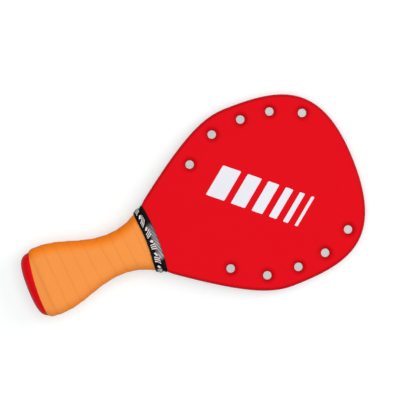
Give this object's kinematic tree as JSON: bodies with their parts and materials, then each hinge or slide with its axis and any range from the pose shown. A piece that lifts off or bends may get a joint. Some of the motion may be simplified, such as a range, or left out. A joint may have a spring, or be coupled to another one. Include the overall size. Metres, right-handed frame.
{
  "type": "frescobol racket",
  "caption": "Solid-faced beach paddle racket with a foam-cored lacquered head, a row of drilled holes down each side and a flared handle bound in spiral grip tape.",
  "frame": {"origin": "middle of the racket: half way along it, on its centre line and on its middle plane", "axes": "+X from the butt of the handle to the tip of the head, +Y across the face, +Z out of the front face"},
  "size_m": [0.4, 0.217, 0.0346],
  "materials": {
    "red_lacquer": "satin red lacquer",
    "foam": "cut closed-cell foam",
    "wood": "plain light wood",
    "cushion": "soft matt foam sleeve",
    "orange_grip": "tacky matt grip tape",
    "black_band": "stretched vinyl tape"
  },
  "bodies": {
    "root": {"foam_core": "foam", "handle_core": "wood", "edge_frame": "red_lacquer", "front_skin": "red_lacquer", "back_skin": "red_lacquer", "front_cheek": "red_lacquer", "back_cheek": "red_lacquer", "cushion_sleeve": "cushion", "overgrip": "orange_grip", "finishing_band": "black_band"}
  },
  "joints": []
}
